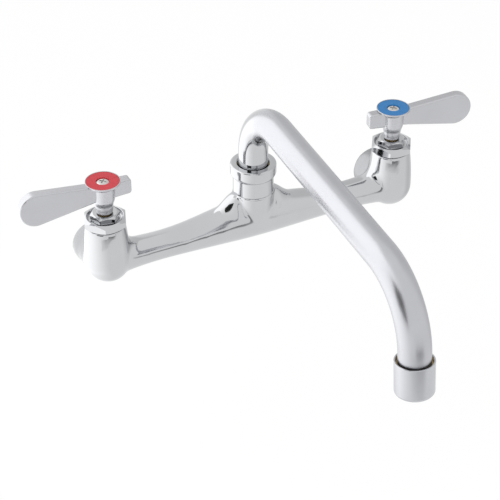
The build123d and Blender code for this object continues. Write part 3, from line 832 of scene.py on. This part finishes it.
def makeIndexRing(side, colour, sizes):
    name = side + "_index_ring"
    bm = turnedShape([
        (sizes["inner"], 0, 0),
        (sizes["outer"], 0, 0),
        (sizes["outer"], sizes["thickness"], sizes["rounding"]),
        (sizes["inner"], sizes["thickness"], sizes["rounding"]),
    ], sizes["steps"])
    place = uprightAxis(name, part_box(name)[0].z)
    toPiece(bm, side + "_colour_ring", side + "_handle", colour, place, sizes["sharp"], name)


screwSizes = {
    "headRadius": 4.0,
    "headHeight": 1.9,
    "rimRounding": 0.2,
    "dome": 0.65,
    "domeRing": (0.62, 0.2),  # shares of the head's radius, and of the dome below its top
    "domeRounding": 0.9,
    "shankRadius": 2.0,
    "tipRounding": 0.3,
    "slotWidth": 0.9,
    "slotLength": 4.4,
    "slotDepth": 1.3,
    "slotTurns": (45, 135),
    "steps": 72,
    "sharp": 35,
}


def makeScrew(side, sizes):
    name = side + "_handle_screw"
    low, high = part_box(name)
    tip, top = low.z / mm, high.z / mm
    under = top - sizes["headHeight"]
    out, down = sizes["domeRing"]
    screw = workObject(turnedShape([
        (0, tip, 0),
        (sizes["shankRadius"], tip, sizes["tipRounding"]),
        (sizes["shankRadius"], under, 0),
        (sizes["headRadius"], under, 0),
        (sizes["headRadius"], top - sizes["dome"], sizes["rimRounding"]),
        (sizes["headRadius"] * out, top - sizes["dome"] * down, sizes["domeRounding"]),
        (0, top, 0),
    ], sizes["steps"]), "screw")
    slotSize = (sizes["slotLength"], sizes["slotWidth"], 2 * sizes["slotDepth"])
    for turn in sizes["slotTurns"]:
        bm = bmesh.new()
        bmesh.ops.create_cube(bm, size=1)
        bmesh.ops.scale(bm, vec=slotSize, verts=bm.verts)
        bmesh.ops.rotate(bm, verts=bm.verts, cent=(0, 0, 0), matrix=Matrix.Rotation(radians(turn), 3, "Z"))
        bmesh.ops.translate(bm, verts=bm.verts, vec=(0, 0, top))
        combine(screw, workObject(bm, "slot"), "DIFFERENCE")
    place = uprightAxis(name)
    toPiece(meshOf(screw), side + "_screw", side + "_handle", "screw_steel", place, sizes["sharp"], name)


# Spout

nutSizes = {
    "radius": 13.15,
    "footRounding": 0.3,
    "collarRadius": 14.85,
    "collarHeight": 8.3,
    "underRounding": 0.4,
    "rimRounding": 1.2,
    "holeRadius": 10.1,
    "mouth": 0.8,
    "mouthRounding": 0.15,
    "threadRadius": 11.4,
    "web": 4.4,
    "steps": 144,
    "sharp": 40,
}


def makeSpoutNut(sizes):
    low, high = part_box("spout_nut")
    bottom, top = low.z / mm, high.z / mm
    collar = top - sizes["collarHeight"]
    shoulder = sizes["collarRadius"] - sizes["radius"]
    bm = turnedShape([
        (sizes["threadRadius"], bottom, 0),
        (sizes["radius"], bottom, sizes["footRounding"]),
        (sizes["radius"], collar - shoulder / 2, sizes["underRounding"]),
        (sizes["collarRadius"], collar + shoulder / 2, sizes["rimRounding"]),
        (sizes["collarRadius"], top, sizes["rimRounding"]),
        (sizes["holeRadius"] + sizes["mouth"], top, sizes["mouthRounding"]),
        (sizes["holeRadius"], top - sizes["mouth"], sizes["mouthRounding"]),
        (sizes["holeRadius"], top - sizes["web"], 0),
        (sizes["threadRadius"], top - sizes["web"], 0),
    ], sizes["steps"])
    place = uprightAxis("spout_nut")
    toPiece(bm, "swivel_nut", "body", "bright_chrome", place, sizes["sharp"], "spout_nut")


spoutSizes = {
    "reach": 204.5,
    "tubeRadius": 9.525,
    "wall": 1.1,
    "riserTop": 52.5,
    "firstBend": 33.0,
    "secondBend": 44.5,
    "fall": 3.9,  # degrees, of the long run
    "lean": 6.0,  # degrees, of the drop
    "drop": 14.9,
    "around": 96,
    "bendSteps": 60,
    "pulls": {"riser": 6, "run": 12, "drop": 3},  # lengths that each straight is made of
    "sharp": 50,
}


def pullRing(bm, ring, step, count):
    # extrudes a ring of edges along a straight run
    for number in range(count):
        grown = bmesh.ops.extrude_edge_only(bm, edges=ring)["geom"]
        moved = [part for part in grown if isinstance(part, bmesh.types.BMVert)]
        ring = [part for part in grown if isinstance(part, bmesh.types.BMEdge)
                and all(v in moved for v in part.verts)]
        bmesh.ops.translate(bm, verts=moved, vec=Vector(step) / count)
    return ring


def bendRing(bm, ring, centre, turn, steps):
    # spins a ring of edges round a bend
    corners = list(dict.fromkeys(v for e in ring for v in e.verts))
    grown = bmesh.ops.spin(
        bm, geom=corners + ring, cent=centre, axis=(1, 0, 0), dvec=(0, 0, 0),
        angle=turn, steps=steps, use_merge=False, use_duplicate=False,
    )["geom_last"]
    return [part for part in grown if isinstance(part, bmesh.types.BMEdge)]


def makeSpoutTube(sizes):
    # a ring is pulled up the riser, bent forwards, pulled along the run, bent down and pulled to the tip
    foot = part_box("spout_tube")[0].z / mm
    fall, lean = radians(sizes["fall"]), radians(sizes["lean"])
    first, second, drop = sizes["firstBend"], sizes["secondBend"], sizes["drop"]
    bends = first * (1 + sin(fall)) + second * (cos(lean) - sin(fall))
    run = (sizes["reach"] - bends - drop * sin(lean)) / cos(fall)
    pulls, steps = sizes["pulls"], sizes["bendSteps"]
    bm = bmesh.new()
    bmesh.ops.create_circle(
        bm, cap_ends=False, segments=sizes["around"], radius=sizes["tubeRadius"],
        matrix=Matrix.Translation((0, 0, foot)),
    )
    ring = pullRing(bm, bm.edges[:], (0, 0, sizes["riserTop"] - foot), pulls["riser"])
    ring = bendRing(bm, ring, (0, -first, sizes["riserTop"]), pi / 2 + fall, steps)
    ring = pullRing(bm, ring, (0, -run * cos(fall), -run * sin(fall)), pulls["run"])
    middle = sum((v.co for e in ring for v in e.verts), Vector()) / (2 * len(ring))
    centre = middle + Vector((0, second * sin(fall), -second * cos(fall)))
    ring = bendRing(bm, ring, centre, pi / 2 - fall - lean, steps)
    pullRing(bm, ring, (0, -drop * sin(lean), -drop * cos(lean)), pulls["drop"])
    bmesh.ops.recalc_face_normals(bm, faces=bm.faces)
    bmesh.ops.solidify(bm, geom=bm.faces[:], thickness=sizes["wall"])
    place = uprightAxis("spout_nut")
    toPiece(bm, "bent_spout", "spout", "spout_chrome", place, sizes["sharp"], "spout_tube")


shellSizes = {
    "radius": 11.6,
    "height": 21.5,
    "wall": 1.0,
    "rimRounding": 0.3,
    "footRounding": 2.2,
    "lipRadius": 8.6,
    "lipHeight": 1.2,
    "lipRounding": 0.3,
    "steps": 144,
    "sharp": 40,
}


def makeOutletShell(sizes, lean):
    # turned upright, leant as the tip of the tube is, and moved to the middle of its node
    top = sizes["height"]
    inner = sizes["radius"] - sizes["wall"]
    bm = turnedShape([
        (sizes["lipRadius"], 0, sizes["lipRounding"]),
        (sizes["radius"], 0, sizes["footRounding"]),
        (sizes["radius"], top, sizes["rimRounding"]),
        (inner, top, sizes["rimRounding"]),
        (inner, sizes["lipHeight"], 0),
        (sizes["lipRadius"], sizes["lipHeight"], sizes["lipRounding"]),
    ], sizes["steps"])
    leaning = Matrix.Rotation(radians(-lean), 4, "X")
    piece = toPiece(bm, "outlet_sleeve", "spout", "spout_chrome", leaning, sizes["sharp"],
                    "outlet_shell", "shell_chrome")
    corners = [Vector(corner) for corner in piece.bound_box]
    middle = sum(corners, Vector()) / len(corners)
    low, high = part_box("outlet_shell")
    piece.data.transform(Matrix.Translation((low + high) / 2 - middle))


# Making it all

makeCamera(photoView)
makeWorld(studio)
makeFloor(studio)
makeLamp(studio)
for name, card in cards.items():
    makeCard(name, card)
print("stage ready")

skins = {name: makeFinish(name, look) for name, look in finishes.items()}
for subpart in frame["record"]["subparts"]:
    for slot in nodes[subpart["node"]].material_slots:
        slot.material = skins[subpart["material_slot"]]
print("finishes on the carried nodes")

makeBody(castBody, shoulderSizes)
for side in ("hot", "cold"):
    makeInletThread(side, threadSizes)
print("body cast")

for side, colour in (("hot", "red_index"), ("cold", "blue_index")):
    makeBonnet(side, bonnetSizes)
    makePackingNut(side, packingNutSizes)
    makeHandle(side, handleSizes)
    makeIndexRing(side, colour, indexSizes)
    makeScrew(side, screwSizes)
print("valves dressed")

makeSpoutNut(nutSizes)
makeSpoutTube(spoutSizes)
makeOutletShell(shellSizes, spoutSizes["lean"])
print("spout dressed")

for piece in pieces:
    print(piece.name, len(piece.data.polygons))
